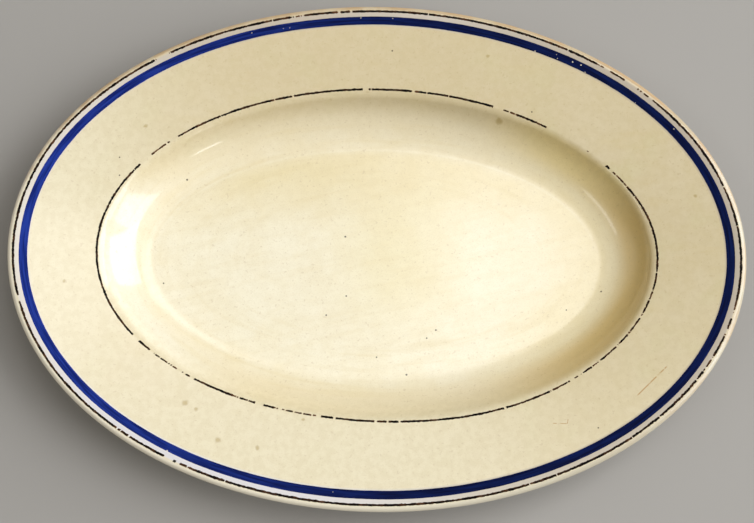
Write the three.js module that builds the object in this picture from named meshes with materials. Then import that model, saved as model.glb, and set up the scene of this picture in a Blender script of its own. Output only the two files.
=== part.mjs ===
// An oval serving platter in cream glazed earthenware, with a blue band and two fine dark lines.
// Millimetres, +Z up, +X along the platter. The origin is on the table, under the middle of the foot ring.
//
// The plan is the oval that an oval-turning chuck cuts. Every ring round the platter is an ellipse, and the
// difference between its half axes is the same for all of them, so that the rim is as wide at the ends as
// at the sides. One section, turned and then stretched along X by that difference, gives the whole form.
import * as THREE from "three";
import { mergeVertices } from "three/addons/utils/BufferGeometryUtils.js";

// Plan
const LENGTH = 356;
const WIDTH = 249;
const RIM_WIDTH = 42; // from the edge to the turn of the well

// Section
const WALL = 5; // finished thickness, with the glaze
const RIM_RISE = 7; // of the rim, from the turn of the well to the edge
const WELL_DEPTH = 14; // from the turn of the well down to its floor
const SHOULDER_RADIUS = 6; // where the rim turns down into the well
const COVE_RADIUS = 29; // where the side of the well sweeps into the floor

// Foot ring
const FOOT_HEIGHT = 3; // of the base above the table
const FOOT_WIDTH = 6;
const FOOT_OUTSET = 3; // of the ring's inner face beyond the edge of the floor
const FOOT_CHAMFER = 0.9;
const BARE_FOOT = 1.4; // height of the ring that is wiped clean of glaze

// Coats
const GLAZE = 0.3;
const ENAMEL = 0.1;

// Painted rings, placed in plan from the edge of the platter
const RIM_LINE_INSET = 2.8;
const RIM_LINE_WIDTH = 0.65;
const BAND_INSET = 5.8;
const BAND_WIDTH = 4;
const WELL_LINE_WIDTH = 0.7; // centred on the turn of the well

// Facets
const FACETS_ROUND = 64;
const COVE_STEPS = 5;
const SHOULDER_STEPS = 3;
const LIP_STEPS = 4; // on each half of the rounded edge

// The section across the short side. A point in it is (half width, height).
const vector = (x, y) => new THREE.Vector2(x, y);
const from = (point, direction, distance) => point.clone().addScaledVector(direction, distance);
const INWARDS = vector(-1, 0);
const OUTWARDS = vector(1, 0);
const DOWN = vector(0, -1);
const UP = vector(0, 1);

// The direction out of a surface that falls towards the middle of the platter at this slope
const outOf = (slope) => vector(-Math.sin(slope), Math.cos(slope));

const EDGE = WIDTH / 2;
const LIP_RADIUS = WALL / 2;
const FLOOR_HEIGHT = FOOT_HEIGHT + WALL;
const RIM_SLOPE = Math.atan2(RIM_RISE, RIM_WIDTH);
const EDGE_SLOPE = -Math.PI / 2;
const SIDE_SLOPE = Math.acos(
  (SHOULDER_RADIUS * Math.cos(RIM_SLOPE) + COVE_RADIUS - WELL_DEPTH) / (SHOULDER_RADIUS + COVE_RADIUS),
);
const turn = vector(EDGE - RIM_WIDTH, FLOOR_HEIGHT + WELL_DEPTH);
const shoulderCentre = from(turn, outOf(RIM_SLOPE), -SHOULDER_RADIUS);
const coveCentre = from(shoulderCentre, outOf(SIDE_SLOPE), SHOULDER_RADIUS + COVE_RADIUS);
const floorEdge = coveCentre.x;
const rimAt = (x) => vector(x, turn.y + (x - turn.x) * Math.tan(RIM_SLOPE));
const lipStart = rimAt(EDGE - LIP_RADIUS * (1 + Math.sin(RIM_SLOPE)));
const lipCentre = from(lipStart, outOf(RIM_SLOPE), -LIP_RADIUS);

// A skin point is a point of the finished surface with the direction out of it there.
const skin = (point, out) => ({ point, out });
const coveAt = (slope) => skin(from(coveCentre, outOf(slope), -COVE_RADIUS), outOf(slope));
const shoulderAt = (slope) => skin(from(shoulderCentre, outOf(slope), SHOULDER_RADIUS), outOf(slope));
const lipAt = (slope) => skin(from(lipCentre, outOf(slope), LIP_RADIUS), outOf(slope));

// The skin point straight through the wall
const through = ({ point, out }) => skin(from(point, out, -WALL), out.clone().negate());

// The skin point of the rim, its shoulder or its rounded edge at this half width
function rimSkin(x) {
  if (x < turn.x) return shoulderAt(Math.asin((shoulderCentre.x - x) / SHOULDER_RADIUS));
  if (x > lipStart.x) return lipAt(Math.asin((lipCentre.x - x) / LIP_RADIUS));
  return skin(rimAt(x), outOf(RIM_SLOPE));
}

// A corner between two surfaces, which sinks to the same depth under both of them
function corner(point, outA, outB) {
  return skin(point, outA.clone().add(outB).divideScalar(1 + outA.dot(outB)));
}

// Evenly spread slopes from one to another, with both ends
function slopes(start, end, steps) {
  return Array.from({ length: steps + 1 }, (_, i) => start + ((end - start) * i) / steps);
}

// The foot ring stands under the cove.
const footInner = floorEdge + FOOT_OUTSET;
const footOuter = footInner + FOOT_WIDTH;
const coveSlopeUnder = (x) => Math.asin((x - floorEdge) / (COVE_RADIUS + WALL));
const footInnerTop = through(coveAt(coveSlopeUnder(footInner)));
const footOuterTop = through(coveAt(coveSlopeUnder(footOuter)));

// The finished skin in four runs: the base, the foot's bare sole, the underside from the foot to the
// widest point of the edge, and the upper face from there to the middle of the floor
const baseSkin = [
  skin(vector(0, FOOT_HEIGHT), DOWN),
  through(coveAt(0)),
  corner(footInnerTop.point, footInnerTop.out, INWARDS),
  skin(vector(footInner, BARE_FOOT), INWARDS),
];
const soleSkin = [
  skin(vector(footInner, FOOT_CHAMFER), INWARDS),
  skin(vector(footInner + FOOT_CHAMFER, 0), INWARDS),
  skin(vector(footOuter - FOOT_CHAMFER, 0), OUTWARDS),
  skin(vector(footOuter, FOOT_CHAMFER), OUTWARDS),
];
const underSkin = [
  skin(vector(footOuter, BARE_FOOT), OUTWARDS),
  corner(footOuterTop.point, footOuterTop.out, OUTWARDS),
  ...slopes(coveSlopeUnder(footOuter), SIDE_SLOPE, COVE_STEPS - 1).slice(1).map(coveAt).map(through),
  ...slopes(SIDE_SLOPE, RIM_SLOPE, SHOULDER_STEPS).slice(1).map(shoulderAt).map(through),
  ...slopes(RIM_SLOPE - Math.PI, EDGE_SLOPE, LIP_STEPS).map(lipAt),
];
const upperSkin = [
  ...slopes(EDGE_SLOPE, RIM_SLOPE, LIP_STEPS).slice(1).map(lipAt),
  ...slopes(RIM_SLOPE, SIDE_SLOPE, SHOULDER_STEPS).map(shoulderAt),
  ...slopes(SIDE_SLOPE, 0, COVE_STEPS).slice(1).map(coveAt),
  skin(vector(0, FLOOR_HEIGHT), UP),
];

// The painted rings, each as its inner and outer half width, and the upper face with their edges on it
const rimLine = [EDGE - RIM_LINE_INSET - RIM_LINE_WIDTH, EDGE - RIM_LINE_INSET];
const blueBand = [EDGE - BAND_INSET - BAND_WIDTH, EDGE - BAND_INSET];
const wellLine = [turn.x - WELL_LINE_WIDTH / 2, turn.x + WELL_LINE_WIDTH / 2];
const paintEdges = [...rimLine, ...blueBand, ...wellLine].map(rimSkin);
const paintedSkin = [...upperSkin, ...paintEdges].sort((a, b) => b.point.x - a.point.x);

// The outlines of the solids. The clay lies one glaze coat under the finished skin, and paint lies on it.
const raised = (skins, height) => skins.map(({ point, out }) => from(point, out, height));
const clay = (skins) => raised(skins, -GLAZE);
const finished = (skins) => raised(skins, 0);

function paintOutline([inner, outer]) {
  const covered = paintedSkin.filter(({ point }) => point.x >= inner && point.x <= outer);
  const top = raised(covered, ENAMEL);
  return [...top, ...finished(covered).reverse(), top[0]];
}

const bodyOutline = clay([...baseSkin, ...soleSkin, ...underSkin, ...upperSkin]);
const faceGlazeOutline = [
  ...finished([...underSkin, ...paintedSkin]).reverse(),
  ...clay([...underSkin, ...upperSkin]),
];
const baseGlazeOutline = [...clay(baseSkin), ...finished(baseSkin).reverse()];

// Turns an outline into a ring or a dish, and stretches it along X into the oval.
function ovalTurned(outline) {
  const geometry = new THREE.LatheGeometry(outline, FACETS_ROUND);
  const position = geometry.getAttribute("position");
  const ovalOffset = (LENGTH - WIDTH) / 2;
  for (let i = 0; i < position.count; i++) {
    const halfWidth = Math.max(outline[i % outline.length].x, floorEdge);
    position.setX(i, position.getX(i) * (1 + ovalOffset / halfWidth));
  }
  return geometry.rotateX(Math.PI / 2);
}

// Turns the faces round. A coat's outline runs the same way as that of the solid it lies on, so that the
// facets they share are cut along the same diagonals, and the coat comes out of the turning inside out.
function turnedOut(geometry) {
  const { index } = geometry;
  for (let i = 0; i < index.count; i += 3) {
    const first = index.getX(i);
    index.setX(i, index.getX(i + 1));
    index.setX(i + 1, first);
  }
  return geometry;
}

// Materials
const fired = { roughness: 0.9, metalness: 0 };
const glossy = { roughness: 0.12, metalness: 0 };
const enamelled = { roughness: 0.25, metalness: 0 };

function piece(name, geometry, color, finish) {
  geometry.deleteAttribute("normal");
  geometry.deleteAttribute("uv");
  const merged = mergeVertices(geometry);
  merged.computeVertexNormals();
  const mesh = new THREE.Mesh(merged, new THREE.MeshStandardMaterial({ color, ...finish }));
  mesh.name = name;
  return mesh;
}

const platter = new THREE.Group();
platter.add(
  piece("clay_body", ovalTurned(bodyOutline), 0xe6dac0, fired),
  piece("face_glaze", turnedOut(ovalTurned(faceGlazeOutline)), 0xeedfb6, glossy),
  piece("base_glaze", turnedOut(ovalTurned(baseGlazeOutline)), 0xeedfb6, glossy),
  piece("blue_band", ovalTurned(paintOutline(blueBand)), 0x182d78, enamelled),
  piece("rim_line", ovalTurned(paintOutline(rimLine)), 0x2a1710, enamelled),
  piece("well_line", ovalTurned(paintOutline(wellLine)), 0x1c110d, enamelled),
);

export default platter;
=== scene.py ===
"""An oval serving platter in cream glaze, with a cobalt band and two worn dark lines round its rim."""
import math
from collections import namedtuple
from functools import reduce

import bpy
import numpy as np
from mathutils import Matrix, Vector, noise


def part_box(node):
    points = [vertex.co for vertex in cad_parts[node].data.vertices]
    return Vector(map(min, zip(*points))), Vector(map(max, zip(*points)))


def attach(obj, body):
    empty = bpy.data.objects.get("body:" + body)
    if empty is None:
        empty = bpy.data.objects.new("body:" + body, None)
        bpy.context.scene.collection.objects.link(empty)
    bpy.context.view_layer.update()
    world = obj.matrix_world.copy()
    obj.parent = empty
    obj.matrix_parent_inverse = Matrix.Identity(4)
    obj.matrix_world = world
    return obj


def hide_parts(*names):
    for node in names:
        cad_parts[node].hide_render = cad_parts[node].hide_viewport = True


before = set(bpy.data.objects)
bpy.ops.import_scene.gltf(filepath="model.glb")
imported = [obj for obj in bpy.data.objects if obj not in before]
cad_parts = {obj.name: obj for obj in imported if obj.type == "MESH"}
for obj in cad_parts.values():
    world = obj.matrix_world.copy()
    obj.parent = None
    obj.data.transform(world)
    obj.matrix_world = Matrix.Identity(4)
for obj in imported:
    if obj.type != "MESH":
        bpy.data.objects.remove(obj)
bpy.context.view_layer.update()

# Sizes

MM = 0.001
HALF_LENGTH, HALF_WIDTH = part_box("face_glaze")[1].xy
OVAL = HALF_LENGTH - HALF_WIDTH
RIM_WIDTH = 42 * MM
WALL = 5 * MM
RIM_RISE = 7 * MM
WELL_DEPTH = 14 * MM
SHOULDER_RADIUS = 6 * MM
COVE_RADIUS = 29 * MM
FOOT_HEIGHT = 3 * MM
FOOT_WIDTH = 6 * MM
FOOT_OUTSET = 3 * MM
FOOT_CHAMFER = 0.9 * MM
BARE_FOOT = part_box("base_glaze")[0].z
GLAZE = 0.3 * MM
MIDDLE = 1.5 * MM  # half width of the smallest ring, which a flat cap closes
TINY = 0.001 * MM  # points closer than this become one
SMOOTH_ANGLE = math.radians(35)  # edges that turn by more stay sharp

# Steps of the fine surfaces
ROUND = 384
PAINT_ROUND = 2160
COVE_STEPS = 14
SHOULDER_STEPS = 10
RIM_STEPS = 8
LIP_STEPS = 9
FLOOR_STEPS = 6
BAND_STEPS = 8
LINE_STEPS = 4
HALVINGS = 40  # of the search for the ring through a place

# The section: points are (half width, height), and a skin point has the direction out of the surface


def out_of(slope):
    """Out of a surface that falls towards the middle at this slope."""
    return Vector((-math.sin(slope), math.cos(slope)))


def spread(start, end, steps):
    return [start + (end - start) * i / steps for i in range(steps + 1)]


RIM_SLOPE = math.atan2(RIM_RISE, RIM_WIDTH)
SIDE_SLOPE = math.acos(
    (SHOULDER_RADIUS * math.cos(RIM_SLOPE) + COVE_RADIUS - WELL_DEPTH) / (SHOULDER_RADIUS + COVE_RADIUS)
)
EDGE_SLOPE = -math.pi / 2
FLOOR_HEIGHT = FOOT_HEIGHT + WALL
LIP_RADIUS = WALL / 2
TURN = Vector((HALF_WIDTH - RIM_WIDTH, FLOOR_HEIGHT + WELL_DEPTH))
SHOULDER_CENTRE = TURN - SHOULDER_RADIUS * out_of(RIM_SLOPE)
COVE_CENTRE = SHOULDER_CENTRE + (SHOULDER_RADIUS + COVE_RADIUS) * out_of(SIDE_SLOPE)
FLOOR_EDGE = COVE_CENTRE.x
SIDE_MIDDLE = (SHOULDER_CENTRE + SHOULDER_RADIUS * out_of(SIDE_SLOPE)).x
LIP_START = HALF_WIDTH - LIP_RADIUS * (1 + math.sin(RIM_SLOPE))
FOOT_INNER = FLOOR_EDGE + FOOT_OUTSET
FOOT_OUTER = FOOT_INNER + FOOT_WIDTH
INWARDS = Vector((-1, 0))
OUTWARDS = Vector((1, 0))
DOWN = Vector((0, -1))
UP = Vector((0, 1))


def rim_at(half_width):
    rise = (half_width - TURN.x) * math.tan(RIM_SLOPE)
    return Vector((half_width, TURN.y + rise)), out_of(RIM_SLOPE)


LIP_CENTRE = rim_at(LIP_START)[0] - LIP_RADIUS * out_of(RIM_SLOPE)


def cove_at(slope):
    return COVE_CENTRE - COVE_RADIUS * out_of(slope), out_of(slope)


def shoulder_at(slope):
    return SHOULDER_CENTRE + SHOULDER_RADIUS * out_of(slope), out_of(slope)


def lip_at(slope):
    return LIP_CENTRE + LIP_RADIUS * out_of(slope), out_of(slope)


def through(skin):
    """The skin point on the other face of the wall."""
    point, out = skin
    return point - WALL * out, -out


def corner(point, out_a, out_b):
    """A corner that sinks to the same depth under both of its surfaces."""
    return point, (out_a + out_b) / (1 + out_a.dot(out_b))


def face_height(half_width):
    """Height of the finished upper face at this half width."""
    if half_width <= FLOOR_EDGE:
        return FLOOR_HEIGHT
    if half_width <= SIDE_MIDDLE:
        return cove_at(math.asin((half_width - COVE_CENTRE.x) / COVE_RADIUS))[0].y
    if half_width <= TURN.x:
        return shoulder_at(math.asin((SHOULDER_CENTRE.x - half_width) / SHOULDER_RADIUS))[0].y
    if half_width <= LIP_START:
        return rim_at(half_width)[0].y
    return lip_at(math.asin(max(-1, (LIP_CENTRE.x - half_width) / LIP_RADIUS)))[0].y


def foot_top(half_width, side):
    """Where a side of the foot ring meets the underside of the cove."""
    slope = math.asin((half_width - FLOOR_EDGE) / (COVE_RADIUS + WALL))
    point, out = through(cove_at(slope))
    return corner(point, out, side), slope


inner_top, _ = foot_top(FOOT_INNER, INWARDS)
outer_top, outer_slope = foot_top(FOOT_OUTER, OUTWARDS)

base_skin = [(Vector((w, FOOT_HEIGHT)), DOWN) for w in spread(MIDDLE, FLOOR_EDGE, FLOOR_STEPS)]
base_skin += [inner_top, (Vector((FOOT_INNER, BARE_FOOT)), INWARDS)]

sole_skin = [
    (Vector((FOOT_INNER, FOOT_CHAMFER)), INWARDS),
    (Vector((FOOT_INNER + FOOT_CHAMFER, 0)), INWARDS),
    (Vector((FOOT_OUTER - FOOT_CHAMFER, 0)), OUTWARDS),
    (Vector((FOOT_OUTER, FOOT_CHAMFER)), OUTWARDS),
]

under_skin = [(Vector((FOOT_OUTER, BARE_FOOT)), OUTWARDS), outer_top]
under_skin += [through(cove_at(s)) for s in spread(outer_slope, SIDE_SLOPE, COVE_STEPS)[1:]]
under_skin += [through(shoulder_at(s)) for s in spread(SIDE_SLOPE, RIM_SLOPE, SHOULDER_STEPS)[1:]]
under_skin += [through(rim_at(w)) for w in spread(TURN.x, LIP_START, RIM_STEPS)[1:-1]]
under_skin += [lip_at(s) for s in spread(RIM_SLOPE - math.pi, EDGE_SLOPE, LIP_STEPS)]

face_skin = [lip_at(s) for s in spread(EDGE_SLOPE, RIM_SLOPE, LIP_STEPS)[1:]]
face_skin += [rim_at(w) for w in spread(LIP_START, TURN.x, RIM_STEPS)[1:-1]]
face_skin += [shoulder_at(s) for s in spread(RIM_SLOPE, SIDE_SLOPE, SHOULDER_STEPS)]
face_skin += [cove_at(s) for s in spread(SIDE_SLOPE, 0, COVE_STEPS)[1:]]
face_skin += [(Vector((w, FLOOR_HEIGHT)), UP) for w in spread(FLOOR_EDGE, MIDDLE, FLOOR_STEPS)[1:]]


def sunk(skins, depth):
    return [point - depth * out for point, out in skins]


# Rings of the oval


def half_length(half_width):
    return half_width * (1 + OVAL / np.maximum(half_width, FLOOR_EDGE))


def on_ring(half_width, angle, height):
    return Vector((half_length(half_width) * math.cos(angle), half_width * math.sin(angle), height))


def ring_half_widths(x, y):
    """Half widths of the rings that pass through these places, found by halving."""
    low = np.full(len(x), TINY)
    high = np.full(len(x), 2 * HALF_WIDTH)
    for _ in range(HALVINGS):
        middle = (low + high) / 2
        inside = (x / half_length(middle)) ** 2 + (y / middle) ** 2 < 1
        high = np.where(inside, middle, high)
        low = np.where(inside, low, middle)
    return (low + high) / 2


def ring_places(points):
    """The half width of the ring through each point, and the point's angle round it."""
    x, y, _ = np.array(points).T
    half_widths = ring_half_widths(x, y)
    return half_widths, np.arctan2(y / half_widths, x / half_length(half_widths))


# Pieces


def oval_piece(name, outline, steps_round):
    """Extrudes an oval ring from point to point of an outline, and closes what is left open."""
    bpy.ops.object.select_all(action="DESELECT")
    bpy.ops.mesh.primitive_circle_add(vertices=steps_round, radius=1)
    piece = bpy.context.object
    piece.name = piece.data.name = name
    bpy.ops.object.mode_set(mode="EDIT")
    bpy.ops.mesh.select_all(action="SELECT")
    width, height = outline[0]
    about_middle = {"center_override": (0, 0, 0)}
    bpy.ops.transform.resize(value=(half_length(width), width, 1), **about_middle)
    bpy.ops.transform.translate(value=(0, 0, height))
    for point in outline[1:]:
        bpy.ops.mesh.extrude_region_move()
        stretch = (half_length(point.x) / half_length(width), point.x / width, 1)
        bpy.ops.transform.resize(value=stretch, **about_middle)
        bpy.ops.transform.translate(value=(0, 0, point.y - height))
        width, height = point
    bpy.ops.mesh.select_all(action="SELECT")
    bpy.ops.mesh.remove_doubles(threshold=TINY)
    bpy.ops.mesh.fill_holes(sides=0)
    bpy.ops.mesh.select_all(action="SELECT")
    bpy.ops.mesh.normals_make_consistent(inside=False)
    bpy.ops.object.mode_set(mode="OBJECT")
    bpy.ops.object.shade_smooth_by_angle(angle=SMOOTH_ANGLE)
    return piece


def mark_inset(piece):
    """Keeps each point's distance in from the edge for the finishes, in millimetres, minus underneath."""
    places = [v.co for v in piece.data.vertices]
    half_widths, _ = ring_places(places)
    middles = [face_height(width) - WALL / 2 for width in half_widths]
    sides = np.array([1 if place.z > middle else -1 for place, middle in zip(places, middles)])
    inset = piece.data.attributes.new("inset", "FLOAT", "POINT")
    inset.data.foreach_set("value", sides * (HALF_WIDTH - half_widths) / MM)


def stand_for(piece, node, finish):
    """Finishes a piece and puts it in the place of its node in the frame."""
    piece.data.materials.clear()
    piece.data.materials.append(finish)
    mark_inset(piece)
    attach(piece, "root")
    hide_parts(node)


# Paint

PAINT = 0.07 * MM  # how far a brush stroke's crown stands over the glaze
SINK = 0.03 * MM  # how far its edges lie in the glaze
CROWN = 6  # how flat the crown is, 2 being evenly round


def brush(angle, size, seed):
    """An even, unhurried waver between about -1 and 1 on the way round the edge."""
    place = Vector((HALF_LENGTH * math.cos(angle), HALF_WIDTH * math.sin(angle), seed * size))
    return noise.noise(place / size)


def painted_ring(name, centre, stroke, steps_across):
    """A closed, gently crowned ring of paint that lies on the glaze."""
    outline = []
    for across in spread(1, -1, steps_across):
        width = centre + across * stroke / 2
        lift = PAINT - (PAINT + SINK) * across**CROWN
        outline.append(Vector((width, face_height(width) + lift)))
    return oval_piece(name, outline + outline[:1], PAINT_ROUND)


def hand_lined(piece, centre, wander, swell):
    """Moves a ring of paint over the glaze as an unsteady brush would have laid it."""
    half_widths, angles = ring_places([v.co for v in piece.data.vertices])
    for vertex, width, angle in zip(piece.data.vertices, half_widths, angles):
        lift = vertex.co.z - face_height(width)
        across = width - centre
        moved = centre + wander(angle) + across * swell(angle, across > 0)
        vertex.co = on_ring(moved, angle, face_height(moved) + lift)


LIGHT_WEAR = 0.22  # of the lines where nothing more is listed
GONE = 1  # the wear that leaves nothing
UNEVEN_WEAR = 1.2  # how far the wear varies within a stretch
WEAR_PATCH = 5 * MM  # size of the patches in which it varies
CHIP = 1.1 * MM  # size of the bits that wear takes away
BITE = 1.45  # how readily it takes them


def wear_at(stretches, angle):
    """How worn a line is at this angle, from its worn stretches in degrees, and unevenly so within them."""
    degrees = math.degrees(angle) % 360
    wear = max((worn for start, end, worn in stretches if start <= degrees <= end), default=LIGHT_WEAR)
    return wear if wear == GONE else wear * (1 + UNEVEN_WEAR * brush(angle, WEAR_PATCH, seed=14))


def wear_through(piece, stretches, seed):
    """Takes away the paint where it is worn through, and keeps how worn the rest is."""
    bpy.ops.object.select_all(action="DESELECT")
    piece.select_set(True)
    bpy.context.view_layer.objects.active = piece
    bpy.context.tool_settings.mesh_select_mode = (False, False, True)
    bpy.ops.object.mode_set(mode="EDIT")
    bpy.ops.mesh.select_all(action="DESELECT")
    bpy.ops.object.mode_set(mode="OBJECT")
    _, angles = ring_places([face.center for face in piece.data.polygons])
    for face, angle in zip(piece.data.polygons, angles):
        wear = wear_at(stretches, angle)
        face.select = wear == GONE or brush(angle, CHIP, seed) > 1 - BITE * wear
    bpy.ops.object.mode_set(mode="EDIT")
    bpy.ops.mesh.delete(type="FACE")
    bpy.ops.mesh.select_all(action="SELECT")
    bpy.ops.mesh.fill_holes(sides=0)
    bpy.ops.mesh.select_all(action="SELECT")
    bpy.ops.mesh.normals_make_consistent(inside=False)
    bpy.ops.object.mode_set(mode="OBJECT")
    bpy.context.tool_settings.mesh_select_mode = (True, False, False)
    _, angles = ring_places([v.co for v in piece.data.vertices])
    worn = piece.data.attributes.new("worn", "FLOAT", "POINT")
    worn.data.foreach_set("value", [wear_at(stretches, angle) for angle in angles])


# Finishes


class Wire:
    """A node's output; arithmetic on it adds Math nodes to its finish."""

    def __init__(self, finish, socket):
        self.finish = finish
        self.socket = socket

    def __add__(self, other):
        return self.finish.math("ADD", self, other)

    def __rsub__(self, other):
        return self.finish.math("SUBTRACT", other, self)

    def __mul__(self, other):
        return self.finish.math("MULTIPLY", self, other)

    __radd__ = __add__
    __rmul__ = __mul__


class Finish:
    """A material or a world, with the few ways in which its nodes are added."""

    def __init__(self, owner, output="OutputMaterial"):
        self.owner = owner
        self.owner.use_nodes = True
        self.tree = self.owner.node_tree
        self.tree.nodes.clear()
        self.output = self.tree.nodes.new("ShaderNode" + output)

    def node(self, kind, settings, sockets, output=0):
        """Adds a node, first its settings and then the values or links of its sockets."""
        node = self.tree.nodes.new("ShaderNode" + kind)
        for name, value in settings.items():
            setattr(node, name, value)
        for name, value in sockets.items():
            socket = next(s for s in node.inputs if name in (s.identifier, s.name))
            if isinstance(value, Wire):
                self.tree.links.new(value.socket, socket)
            else:
                socket.default_value = value
        return Wire(self, node.outputs[output])

    def math(self, operation, a, b):
        return self.node("Math", {"operation": operation}, {"Value": a, "Value_001": b})

    def greatest(self, a, b):
        return self.math("MAXIMUM", a, b)

    def together(self, masks):
        """Several masks as one."""
        return reduce(self.greatest, masks)

    def vector(self, operation, a, b, output=0):
        return self.node("VectorMath", {"operation": operation}, {"Vector": a, "Vector_001": b}, output)

    def dot(self, a, b):
        return self.vector("DOT_PRODUCT", a, b, output="Value")

    def axis(self, place, name):
        return self.node("SeparateXYZ", {}, {"Vector": place}, output=name)

    def ramp(self, value, low, high):
        """Goes softly from 0 at low to 1 at high."""
        places = {"Value": value, "From Min": low, "From Max": high}
        return self.node("MapRange", {"interpolation_type": "SMOOTHSTEP"}, places)

    def blend(self, share, a, b):
        sockets = {"Factor_Float": share, "A_Color": a, "B_Color": b}
        return self.node("Mix", {"data_type": "RGBA"}, sockets, output=2)

    def cloud(self, place, size, detail=2.0, output=0):
        sockets = {"Vector": place, "Scale": 1 / size, "Detail": detail}
        return self.node("TexNoise", {}, sockets, output)

    def place_mm(self):
        place = self.node("TexCoord", {}, {}, output="Object")
        return self.vector("MULTIPLY", place, (1 / MM, 1 / MM, 1 / MM))

    def reading(self, attribute):
        return self.node("Attribute", {"attribute_name": attribute}, {}, output="Fac")

    def streaks(self, place, inset, stretch, pitch, detail):
        """A cloud drawn out round the oval, which changes from ring to ring."""
        flat = self.vector("MULTIPLY", place, (stretch, stretch, 0))
        rings = self.node("CombineXYZ", {}, {"Z": inset * pitch})
        return self.cloud(self.vector("ADD", flat, rings), 1, detail)

    def ragged(self, place, size, reach):
        """The place pushed about by a cloud, which breaks up the outlines read from it."""
        push = self.vector("SUBTRACT", self.cloud(place, size, output="Color"), (0.5, 0.5, 0.5))
        return self.vector("ADD", place, self.vector("MULTIPLY", push, (reach, reach, reach)))

    def spot(self, place, centre, radius, soft):
        """1 inside a round spot and 0 outside it, with a soft border of this share."""
        away = self.vector("DISTANCE", place, centre, output="Value")
        return self.ramp(away, radius * (1 + soft / 2), radius * (1 - soft / 2))

    def spots(self, place, spots, soft):
        """The spots (x, y, radius) on the upper face, all as one mask."""
        return self.together(self.spot(place, on_face(x, y), radius, soft) for x, y, radius in spots)

    def scratch(self, place, start, end, width):
        """1 on a straight scratch on the upper face and 0 beside it, fading at both ends."""
        run = Vector(on_face(*end)) - Vector(on_face(*start))
        side = Vector((-run.y, run.x, 0)).normalized()
        from_start = self.vector("SUBTRACT", place, on_face(*start))
        across = self.math("ABSOLUTE", self.dot(from_start, side), 0)
        along = self.dot(from_start, run / run.length_squared)
        return self.ramp(across, width, width / 3) * self.ramp(along, 0, 0.1) * self.ramp(along, 1, 0.9)

    def surface(self, shader, sockets):
        self.tree.links.new(self.node(shader, {}, sockets).socket, self.output.inputs["Surface"])
        return self.owner


def paint(red, green, blue):
    """A colour as it is picked on a screen, made linear for the shader."""
    channels = [c / 255 for c in (red, green, blue)]
    return (*(((c + 0.055) / 1.055) ** 2.4 if c > 0.04045 else c / 12.92 for c in channels), 1)


def on_face(x, y):
    """The place in millimetres on the upper face at this plan place in millimetres."""
    width = ring_half_widths(np.array([x * MM]), np.array([y * MM]))[0]
    return x, y, face_height(width) / MM


def on_rim(degrees, inset):
    """The plan place in millimetres at this angle round the oval and this distance in from the edge."""
    return tuple(on_ring(HALF_WIDTH - inset * MM, math.radians(degrees), 0).xy / MM)


GLAZE_IOR = 1.65

# Marks of use on the glaze: x, y and radius in millimetres
TAN_STAINS = (
    (59.4, 68.8, 1.7), (52.9, 100.1, 0.9), (-149.9, -18.1, 0.8), (-89.4, -75.2, 1.4), (-84.1, -78.0, 0.9),
    (-72.9, -92.5, 1.2), (-54.4, -95.9, 0.9), (-33.3, -81.9, 0.8), (154.2, 30.4, 0.9), (-115.1, 60.7, 0.9),
)
DARK_SPECKS = (
    (5.5, 102.0, 0.4), (-95.4, 37.8, 0.45), (-127.1, 44.7, 0.35), (-126.8, 35.9, 0.35), (-15.9, 10.7, 0.45),
    (-14.7, -19.2, 0.4), (-24.3, -28.9, 0.4), (110.5, -14.4, 0.4), (93.4, -23.9, 0.35), (29.5, -35.2, 0.4),
    (25.1, -39.3, 0.35), (0.8, -49.2, 0.35), (15.5, -57.5, 0.45), (-104.7, -14.7, 0.35), (105.7, -83.2, 0.35),
    (75.1, 72.6, 0.35),
)
YELLOW_PATCH = (11.2, 0.1, 26.0)

# Scratches on the rim: the ends, in millimetres, and the width
RIM_SCRATCHES = (
    ((123.8, -68.1), (139.4, -52.6), 0.42),
    ((84.3, -81.3), (91.4, -81.4), 0.28),
    ((91.3, -81.5), (91.8, -79.2), 0.28),
)

# Nicks in the band: degrees round the oval, distance in from the edge and radius in millimetres
BAND_NICKS = (
    (236.0, 5.9, 0.4), (88.2, 6.5, 0.2), (93.5, 6.4, 0.2), (112.1, 7.0, 0.25), (106.7, 8.0, 0.2),
    (105.6, 8.2, 0.2), (63.1, 9.5, 0.25), (59.4, 7.4, 0.2), (58.9, 9.0, 0.2), (56.2, 7.6, 0.35),
    (54.6, 7.2, 0.25), (53.2, 9.5, 0.3), (41.9, 9.5, 0.25), (32.7, 6.7, 0.25), (263.8, 8.2, 0.2),
)

# What the colours of the glaze follow
Face = namedtuple("Face", "place ragged inset length breadth")


def rim_cream(finish, face):
    """The cream of the rim with its drifts of hue, painted light towards the left and near side and painted
    shade towards the far side, and the mottle that its gloss follows too.
    """
    place, length, breadth = face.place, face.length, face.breadth
    drift = finish.ramp(finish.cloud(place, 70, detail=3), 0.35, 0.7)
    mottle = finish.ramp(finish.cloud(place, 8, detail=4), 0.3, 0.75)
    wisps = finish.cloud(finish.vector("MULTIPLY", place, (0.25, 1, 1)), 9, detail=4)
    tints = finish.cloud(finish.vector("ADD", place, (300, 0, 0)), 26, detail=3)
    cream = finish.blend(drift, paint(223, 210, 177), paint(218, 204, 168))
    cream = finish.blend(mottle * 0.4, cream, paint(213, 197, 152))
    cream = finish.blend(finish.ramp(wisps, 0.52, 0.75) * 0.3, cream, paint(217, 199, 150))
    cream = finish.blend(finish.ramp(tints, 0.5, 0.72) * 0.3, cream, paint(214, 208, 160))
    # Painted light: paler towards the left end and the near side.
    near_side_lit = finish.ramp(breadth, 10, -100) * (1 - 0.6 * finish.ramp(length, 0, 120))
    lit_left_and_near = finish.greatest(finish.ramp(length, -60, -160), near_side_lit)
    cream = finish.blend(lit_left_and_near * 0.85, cream, paint(236, 228, 199))
    # Painted shade: darker towards the far side.
    cream = finish.blend(finish.ramp(breadth, 40, 110) * 0.5, cream, paint(214, 199, 162))
    return cream, mottle


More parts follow.
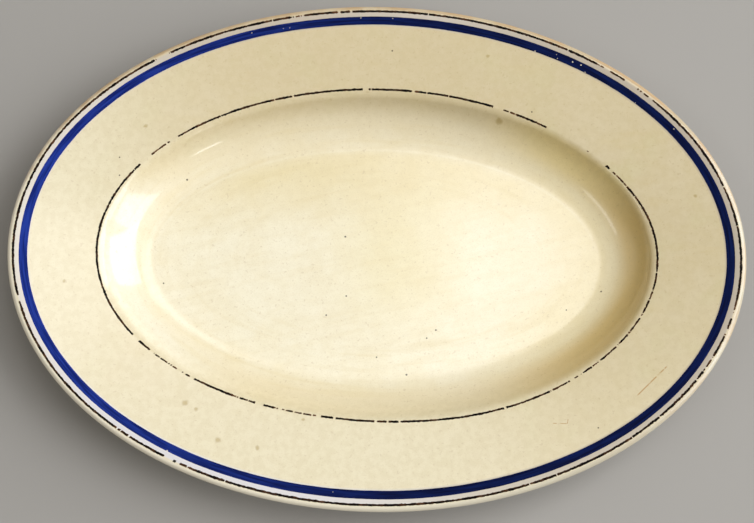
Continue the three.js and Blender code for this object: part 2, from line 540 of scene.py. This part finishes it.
def well_cream(finish, face, cream):
    """The well, painted paler than the rim and paler still on its floor as a painted sheen, with pooled
    glaze, painted shade, painted light and a painted highlight on its side, and a painted glint at the
    floor's edge.
    """
    inset, length, breadth = face.inset, face.length, face.breadth
    # Painted sheen: the well paler than the rim, and the floor paler still, less so at the far side and the
    # right end.
    cream = finish.blend(finish.ramp(inset, 43, 56) * 0.66, cream, paint(247, 238, 210))
    floor_sheen = finish.ramp(inset, 56, 72) * (1 - 0.8 * finish.ramp(breadth, 5, 50))
    floor_sheen = floor_sheen * (1 - 0.6 * finish.ramp(length, 30, 110))
    cream = finish.blend(floor_sheen * 0.8, cream, paint(255, 250, 228))
    # Painted shade: yellower glaze near the floor's far edge and its right end.
    floor_edge_shade = finish.ramp(inset, 66, 74) * finish.ramp(breadth, 5, 45)
    floor_edge_shade = finish.greatest(floor_edge_shade, finish.ramp(inset, 86, 70) * finish.ramp(length, 40, 100))
    cream = finish.blend(floor_edge_shade * finish.ramp(inset, 52, 62) * 0.3, cream, paint(238, 220, 158))
    steep = finish.ramp(inset, 42, 47) * finish.ramp(inset, 62, 53)
    # Pooled glaze on the steep side all round, with painted shade much stronger on its right side, which
    # faces away from the light, and less on its far side.
    pooled_glaze_and_shade = steep * (0.15 + 0.6 * finish.ramp(length, 40, 115)) * (1 - 0.6 * finish.ramp(breadth, 15, 50))
    cream = finish.blend(pooled_glaze_and_shade, cream, paint(222, 190, 112))
    sunlit = steep * finish.ramp(length, 40, 100) * finish.ramp(breadth, 15, 50)
    cream = finish.blend(sunlit * 0.5, cream, paint(250, 228, 150))
    # Painted highlight: the left end of the side whiter where the light reflects in it.
    left_wall_highlight = steep * finish.ramp(length, -50, -105) * finish.ramp(breadth, 44, 22)
    cream = finish.blend(left_wall_highlight * 0.7, cream, paint(238, 235, 218))
    patch = finish.spots(face.ragged, [YELLOW_PATCH], 1.8)
    cream = finish.blend(patch * 0.35, cream, paint(230, 214, 146))
    # Painted glint: a pale line where the floor meets the side, on its far half.
    floor_edge_glint = finish.ramp(inset, 68, 68.8) * finish.ramp(inset, 69.9, 69.1) * finish.ramp(breadth, -5, 30)
    return finish.blend(floor_edge_glint * 0.22, cream, paint(252, 246, 226))


def worked_cream(finish, face, cream):
    """Darker arcs round the well and wiping strokes in it, and the clouds, grain and flecks of the glaze."""
    place, inset = face.place, face.inset
    arcs = finish.ramp(finish.streaks(place, inset, 0.02, 0.32, detail=4), 0.48, 0.75)
    arcs = arcs * finish.ramp(inset, 46, 56) * finish.ramp(inset, 98, 80)
    cream = finish.blend(arcs * 0.25, cream, paint(224, 206, 152))
    along = finish.dot(place, (0.97, 0.24, 0))
    across = finish.dot(place, (-0.24, 0.97, 0))
    wiped = finish.node("CombineXYZ", {}, {"X": along * 0.1, "Y": across})
    strokes = finish.ramp(finish.cloud(wiped, 4, detail=3), 0.45, 0.7)
    cream = finish.blend(strokes * finish.ramp(inset, 58, 70) * 0.12, cream, paint(224, 206, 152))
    clouded = finish.ramp(finish.cloud(finish.vector("ADD", place, (0, 200, 0)), 13, detail=3), 0.35, 0.65)
    cream = finish.blend(clouded * finish.ramp(inset, 50, 62) * 0.12, cream, paint(228, 208, 150))
    curdled = finish.ramp(finish.cloud(finish.vector("ADD", place, (0, 0, 90)), 3.2), 0.35, 0.65)
    curdled = curdled * (1 - 0.6 * finish.ramp(inset, 43, 56))
    cream = finish.blend(curdled * 0.15, cream, paint(196, 178, 128))
    grain = finish.ramp(finish.cloud(place, 0.6, detail=3), 0.45, 0.8)
    cream = finish.blend(grain * 0.2, cream, paint(198, 178, 132))
    flecks = finish.ramp(finish.cloud(place, 1.4, detail=1), 0.66, 0.74)
    return finish.blend(flecks * 0.18, cream, paint(172, 144, 96))


def used_cream(finish, face, cream):
    """The stains, specks and scratches."""
    place = face.place
    stains = finish.spots(face.ragged, TAN_STAINS, 1.1)
    cream = finish.blend(stains * 0.5, cream, paint(166, 138, 62))
    specks = finish.spots(finish.ragged(place, 0.4, 0.3), DARK_SPECKS, 0.9)
    cream = finish.blend(specks * 0.9, cream, paint(44, 28, 16))
    scratches = finish.together(finish.scratch(place, *scratch) for scratch in RIM_SCRATCHES)
    scratches = scratches * finish.ramp(finish.cloud(place, 2.5), 0.3, 0.45)
    return finish.blend(scratches * 0.75, cream, paint(182, 138, 80))


def edge_cream(finish, face, cream):
    """The strip round the band and the lip, with painted light to the left and painted shade to the right and
    far side, and where the lip is rubbed, tan partly as painted shade, which dulls its gloss too.
    """
    place, inset, length, breadth = face.place, face.inset, face.length, face.breadth
    strip = finish.ramp(inset, 2.4, 3.6) * finish.ramp(inset, 11, 9.6)
    # Painted light on the left of the strip, painted shade to its right and far side, and paler and bluer on
    # its near left, partly as painted light.
    strip_cream_lit_and_shaded = finish.blend(finish.ramp(length, -60, 120), paint(220, 214, 208), paint(182, 171, 157))
    far_strip_shade = finish.ramp(breadth, 60, 115) * finish.ramp(length, 40, -40)
    strip_cream_lit_and_shaded = finish.blend(far_strip_shade * 0.6, strip_cream_lit_and_shaded, paint(176, 162, 140))
    near_strip_lit = finish.ramp(breadth, -20, -90) * finish.ramp(length, 60, -60)
    strip_cream_lit_and_shaded = finish.blend(near_strip_lit * 0.7, strip_cream_lit_and_shaded, paint(220, 222, 236))
    cream = finish.blend(strip * 0.85, cream, strip_cream_lit_and_shaded)
    lip = finish.ramp(inset, 2.8, 1.8) * finish.ramp(inset, -4, -2)
    # Painted light on the lip to the left, painted shade to the right, and peach on the far side.
    lip_cream_lit_and_shaded = finish.blend(finish.ramp(length, -60, 140), paint(250, 243, 224), paint(194, 188, 170))
    lip_cream_lit_and_shaded = finish.blend(finish.ramp(breadth, 10, 90) * 0.7, lip_cream_lit_and_shaded, paint(196, 172, 134))
    cream = finish.blend(lip * 0.8, cream, lip_cream_lit_and_shaded)
    # Rubbed tan on the lip, kept to the far side and the right end, where it is partly painted shade.
    far_side_shade = finish.greatest(finish.ramp(breadth, 0, 50), finish.ramp(length, 80, 160) * 0.6)
    rubbed_and_shaded = lip * finish.ramp(finish.cloud(place, 14, detail=4), 0.36, 0.6) * far_side_shade
    return finish.blend(rubbed_and_shaded * 0.6, cream, paint(196, 160, 116)), rubbed_and_shaded


def cream_glaze():
    finish = Finish(bpy.data.materials.new("cream_glaze"))
    place = finish.place_mm()
    ragged = finish.ragged(place, 3, 2.2)
    inset = finish.reading("inset")
    face = Face(place, ragged, inset, length=finish.axis(place, "X"), breadth=finish.axis(place, "Y"))
    cream, mottle = rim_cream(finish, face)
    cream = well_cream(finish, face, cream)
    cream = worked_cream(finish, face, cream)
    cream = used_cream(finish, face, cream)
    cream, rubbed_and_shaded = edge_cream(finish, face, cream)
    rough = 0.08 + 0.05 * mottle + 0.15 * rubbed_and_shaded
    swells = finish.cloud(place, 26, detail=1) * 0.05
    peel = finish.cloud(place, 1.8, detail=1) * 0.0012
    bump = finish.node("Bump", {}, {"Strength": 1.0, "Distance": MM, "Height": swells + peel})
    sockets = {"Base Color": cream, "Roughness": rough, "IOR": GLAZE_IOR, "Normal": bump}
    return finish.surface("BsdfPrincipled", sockets)


def blue_enamel():
    finish = Finish(bpy.data.materials.new("blue_enamel"))
    place = finish.place_mm()
    inset = finish.reading("inset")
    streaks = finish.streaks(place, inset, 0.06, 1.1, detail=3)
    # Painted light: the blue paler towards the left end, where light falls on the band.
    thin_and_lit = finish.ramp(finish.axis(place, "X"), 40, -185)
    deep = finish.blend(thin_and_lit, paint(2, 10, 48), paint(14, 32, 106))
    pale = finish.blend(thin_and_lit, paint(7, 25, 78), paint(35, 59, 154))
    blue = finish.blend(finish.ramp(streaks, 0.3, 0.7), deep, pale)
    nicks = [(*on_rim(degrees, inwards), radius) for degrees, inwards, radius in BAND_NICKS]
    nicks = finish.spots(finish.ragged(place, 0.5, 0.7), nicks, 0.5)
    blue = finish.blend(nicks, blue, paint(222, 214, 196))
    sockets = {"Base Color": blue, "Roughness": 0.4 + 0.15 * streaks, "Specular IOR Level": 0.05}
    return finish.surface("BsdfPrincipled", sockets)


def dark_enamel():
    finish = Finish(bpy.data.materials.new("dark_enamel"))
    place = finish.place_mm()
    worn = finish.reading("worn")
    thin_and_lit = finish.ramp(finish.cloud(place, 3.5, detail=3) + 0.5 * worn, 0.52, 1.0)
    brown = finish.blend(thin_and_lit, paint(14, 8, 5), paint(104, 70, 46))
    sockets = {"Base Color": brown, "Roughness": 0.5 + 0.2 * thin_and_lit, "Specular IOR Level": 0.08}
    return finish.surface("BsdfPrincipled", sockets)


def bare_clay():
    finish = Finish(bpy.data.materials.new("bare_clay"))
    place = finish.place_mm()
    grain = finish.cloud(place, 0.7, detail=4)
    grime = finish.ramp(finish.cloud(place, 14, detail=4), 0.45, 0.75)
    buff = finish.blend(finish.ramp(grain, 0.3, 0.7), paint(206, 184, 146), paint(222, 203, 168))
    buff = finish.blend(grime * 0.6, buff, paint(150, 128, 98))
    bump = finish.node("Bump", {}, {"Strength": 0.6, "Distance": MM, "Height": grain * 0.15})
    sockets = {"Base Color": buff, "Roughness": 0.75 + 0.15 * grain, "Normal": bump}
    return finish.surface("BsdfPrincipled", sockets)


def pale_floor():
    finish = Finish(bpy.data.materials.new("pale_floor"))
    sockets = {"Base Color": paint(165, 163, 160), "Roughness": 0.9, "Specular IOR Level": 0.1}
    return finish.surface("BsdfPrincipled", sockets)


def studio_glow():
    """A broad soft light from above and the right, with three brighter places that have no hard edge."""
    finish = Finish(bpy.data.worlds.new("studio"), "OutputWorld")
    direction = finish.node("TexCoord", {}, {})
    right, back, up = (finish.axis(direction, name) for name in "XYZ")
    broad = finish.ramp(finish.dot(direction, (0.5, -0.1, 0.86)), 0.1, 1.0)
    glow = finish.blend(broad, paint(60, 52, 40), paint(154, 152, 148))
    far = finish.ramp(finish.dot(direction, (-0.6, 0.15, 0.78)), 0.8, 0.97)
    glow = finish.blend(far, glow, (0.74, 0.7, 0.62, 1))
    high = finish.ramp(finish.dot(direction, (0.5, 0.05, 0.865)), 0.8, 1.0)
    glow = finish.blend(high, glow, (1.15, 1.13, 1.1, 1))
    across = finish.ramp(right, -0.05, 0.09) * finish.ramp(right, 0.4, 0.25)
    along = finish.ramp(back, 0.09, 0.2) * finish.ramp(back, 0.55, 0.42)
    panel = across * along * finish.ramp(up, 0, 0.1)
    glow = finish.blend(panel, glow, (2.7, 2.66, 2.6, 1))
    return finish.surface("Background", {"Color": glow})


# The platter

glazed_skin = under_skin + face_skin
bare_skin = [base_skin[-1], *sole_skin, under_skin[0]]
clay_outline = sunk(base_skin, GLAZE) + sunk(bare_skin, 0) + sunk(glazed_skin, GLAZE)
face_outline = sunk(glazed_skin, 0)[::-1] + sunk(glazed_skin, GLAZE)
base_outline = sunk(base_skin, 0) + sunk(base_skin, GLAZE)[::-1]

glaze = cream_glaze()
fired_body = oval_piece("fired_body", clay_outline, ROUND)
stand_for(fired_body, "clay_body", bare_clay())
glazed_face = oval_piece("glazed_face", face_outline, ROUND)
stand_for(glazed_face, "face_glaze", glaze)
glazed_base = oval_piece("glazed_base", base_outline, ROUND)
stand_for(glazed_base, "base_glaze", glaze)

# The painted rings: outer edges from the frame, and widths
BAND_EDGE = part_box("blue_band")[1].y
RIM_LINE_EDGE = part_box("rim_line")[1].y
WELL_LINE_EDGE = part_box("well_line")[1].y
BAND_WIDTH = 4 * MM
RIM_LINE_WIDTH = 0.65 * MM
WELL_LINE_WIDTH = 0.7 * MM

# How much fuller the strokes are than their even rings in the frame
BAND_FULLNESS = 1.11
LINE_FULLNESS = 2.35
WELL_LINE_SHARE = 0.87  # of that fullness
WEAR_THINNING = 0.7  # share of a line's width that full wear takes

# How far the well line strays outwards: degrees round the oval and millimetres
WELL_LINE_STRAY = (
    (-30, 0), (8, 0), (33, -0.9), (88, 0.3), (150, -0.1), (205, -0.05),
    (225, -0.6), (258, -1.1), (300, 0.85), (330, 0), (368, 0),
)

# Where the lines are worn: from and to in degrees round the oval, and how far, 1 being gone
RIM_LINE_WEAR = (
    (12, 20, 0.4), (34.7, 40, 0.35), (40, 44.1, 0.6), (44.1, 49.3, 0.85), (49.3, 52.2, 0.6),
    (57.9, 60.0, 0.4), (94.9, 95.2, 1), (96.8, 97.2, 1), (102.8, 105.0, 0.7), (126.5, 129.7, 0.7),
    (192.3, 195.2, 0.45), (229.0, 229.3, 1), (236.1, 237.8, 1), (238.4, 239.0, 1), (239.0, 240.8, 0.5),
    (320.1, 320.4, 1), (330.3, 331.0, 0.9), (332.6, 336.5, 0.6), (341.5, 343.1, 0.8), (343.1, 345.8, 0.5),
    (345.8, 348.5, 0.75), (348.5, 350.0, 0.4),
)
WELL_LINE_WEAR = (
    (20, 33, 0.55), (34.4, 39.0, 1), (39.0, 41.1, 0.7), (41.1, 50.5, 1), (50.5, 52.5, 0.9),
    (52.5, 58, 0.35), (60, 63.3, 0.5), (63.3, 65.6, 1), (82.8, 83.4, 1), (92.5, 93.6, 1),
    (130, 136.9, 0.35), (136.9, 139.3, 1), (139.3, 145.3, 0.45), (145.3, 149.4, 1), (211.3, 213.6, 1),
    (217.5, 218.6, 1), (218.6, 227.6, 0.5), (227.6, 230.6, 0.85), (240, 245.5, 0.45), (245.5, 247.1, 1),
    (249.5, 258.3, 0.72), (258.3, 259.3, 1), (261.9, 262.3, 1), (270.2, 270.6, 1), (272.6, 273.0, 1),
    (275.0, 275.4, 1), (296.9, 297.3, 1), (298, 308, 0.35), (308.0, 308.4, 1), (310, 332, 0.55),
    (332, 358, 0.42),
)


def band_wander(angle):
    return 0.15 * MM * brush(angle, 45 * MM, seed=1)


def band_swell(angle, outside):
    broad = 0.05 * brush(angle, 12 * MM, seed=2 + outside)
    return BAND_FULLNESS + broad + 0.025 * brush(angle, 2 * MM, seed=4 + outside)


def rim_line_wander(angle):
    return 0.2 * MM * brush(angle, 40 * MM, seed=6)


def well_line_wander(angle):
    """Eases from each measured stray to the next, with the small unsteadiness of the brush."""
    degrees = math.degrees(angle) % 360
    for (start, here), (end, there) in zip(WELL_LINE_STRAY, WELL_LINE_STRAY[1:]):
        if start <= degrees <= end:
            ease = 0.5 - 0.5 * math.cos(math.pi * (degrees - start) / (end - start))
            return (here + (there - here) * ease) * MM + 0.12 * MM * brush(angle, 12 * MM, seed=7)


def line_swell(stretches, share=1):
    """How the edges of a line swell on the way round, and draw in where it is worn."""

    def swell(angle, outside):
        broad = 0.35 * brush(angle, 7 * MM, seed=8 + outside)
        uneven = broad + 0.75 * brush(angle, 1.6 * MM, seed=10 + outside)
        fullness = LINE_FULLNESS + uneven + brush(angle, 0.9 * MM, seed=15 + outside)
        return share * fullness * (1 - WEAR_THINNING * min(1, wear_at(stretches, angle)))

    return swell


band_centre = BAND_EDGE - BAND_WIDTH / 2
cobalt_band = painted_ring("cobalt_band", band_centre, BAND_WIDTH, BAND_STEPS)
hand_lined(cobalt_band, band_centre, band_wander, band_swell)
stand_for(cobalt_band, "blue_band", blue_enamel())

dark = dark_enamel()
line_centre = RIM_LINE_EDGE - RIM_LINE_WIDTH / 2
edge_line = painted_ring("edge_line", line_centre, RIM_LINE_WIDTH, LINE_STEPS)
hand_lined(edge_line, line_centre, rim_line_wander, line_swell(RIM_LINE_WEAR))
wear_through(edge_line, RIM_LINE_WEAR, seed=12)
stand_for(edge_line, "rim_line", dark)

line_centre = WELL_LINE_EDGE - WELL_LINE_WIDTH / 2
shoulder_line = painted_ring("shoulder_line", line_centre, WELL_LINE_WIDTH, LINE_STEPS)
well_line_swell = line_swell(WELL_LINE_WEAR, WELL_LINE_SHARE)
hand_lined(shoulder_line, line_centre, well_line_wander, well_line_swell)
wear_through(shoulder_line, WELL_LINE_WEAR, seed=13)
stand_for(shoulder_line, "well_line", dark)

# The floor and the light

FLOOR_SIZE = 12
PANEL_POWER = 4  # watts for each square metre of a panel of brightness 1


def soft_panel(name, centre, width, height, brightness):
    """A soft panel that hangs at this centre and faces the platter."""
    light = bpy.data.lights.new(name, "AREA")
    light.shape = "RECTANGLE"
    light.size = width
    light.size_y = height
    light.energy = brightness * PANEL_POWER * width * height
    panel = bpy.data.objects.new(name, light)
    bpy.context.collection.objects.link(panel)
    panel.location = centre
    panel.rotation_euler = Vector(centre).to_track_quat("Z", "Y").to_euler()


bpy.ops.object.select_all(action="DESELECT")
bpy.ops.mesh.primitive_plane_add(size=FLOOR_SIZE)
floor = bpy.context.object
floor.name = floor.data.name = "floor"
floor.data.materials.append(pale_floor())

soft_panel("wide_pane", (1.913, 0.696, 1.272), width=1.56, height=2.45, brightness=3.1)
soft_panel("narrow_pane", (1.962, -0.619, 1.236), width=0.89, height=2.34, brightness=2.4)
soft_panel("strip_panel", (0.958, -1.728, 1.363), width=0.24, height=0.07, brightness=8)
soft_panel("far_strip_shade", (-1.168, -0.545, 2.024), width=0.9, height=0.22, brightness=1.8)
bpy.context.scene.world = studio_glow()

# The camera

PHOTO_WIDTH = 754
FOCAL_PIXELS = 1494.9
SENSOR_WIDTH = 36
NEAREST = 10 * MM
CAMERA_DISTANCE = 746.1 * MM
CAMERA_TILT = math.radians(12)
CAMERA_ROLL = math.radians(1.18)
CAMERA_AIM = Vector((0.05, 0.14, 0.2)) * MM

lens = bpy.data.cameras.new("camera")
lens.sensor_width = SENSOR_WIDTH
lens.lens = SENSOR_WIDTH * FOCAL_PIXELS / PHOTO_WIDTH
lens.clip_start = NEAREST
camera = bpy.data.objects.new("camera", lens)
bpy.context.collection.objects.link(camera)
tilted = Matrix.Rotation(CAMERA_TILT, 4, "X") @ Matrix.Rotation(CAMERA_ROLL, 4, "Z")
camera.matrix_world = Matrix.Translation(CAMERA_AIM) @ tilted @ Matrix.Translation((0, 0, CAMERA_DISTANCE))
bpy.context.scene.camera = camera
bpy.context.scene.view_settings.view_transform = "Standard"
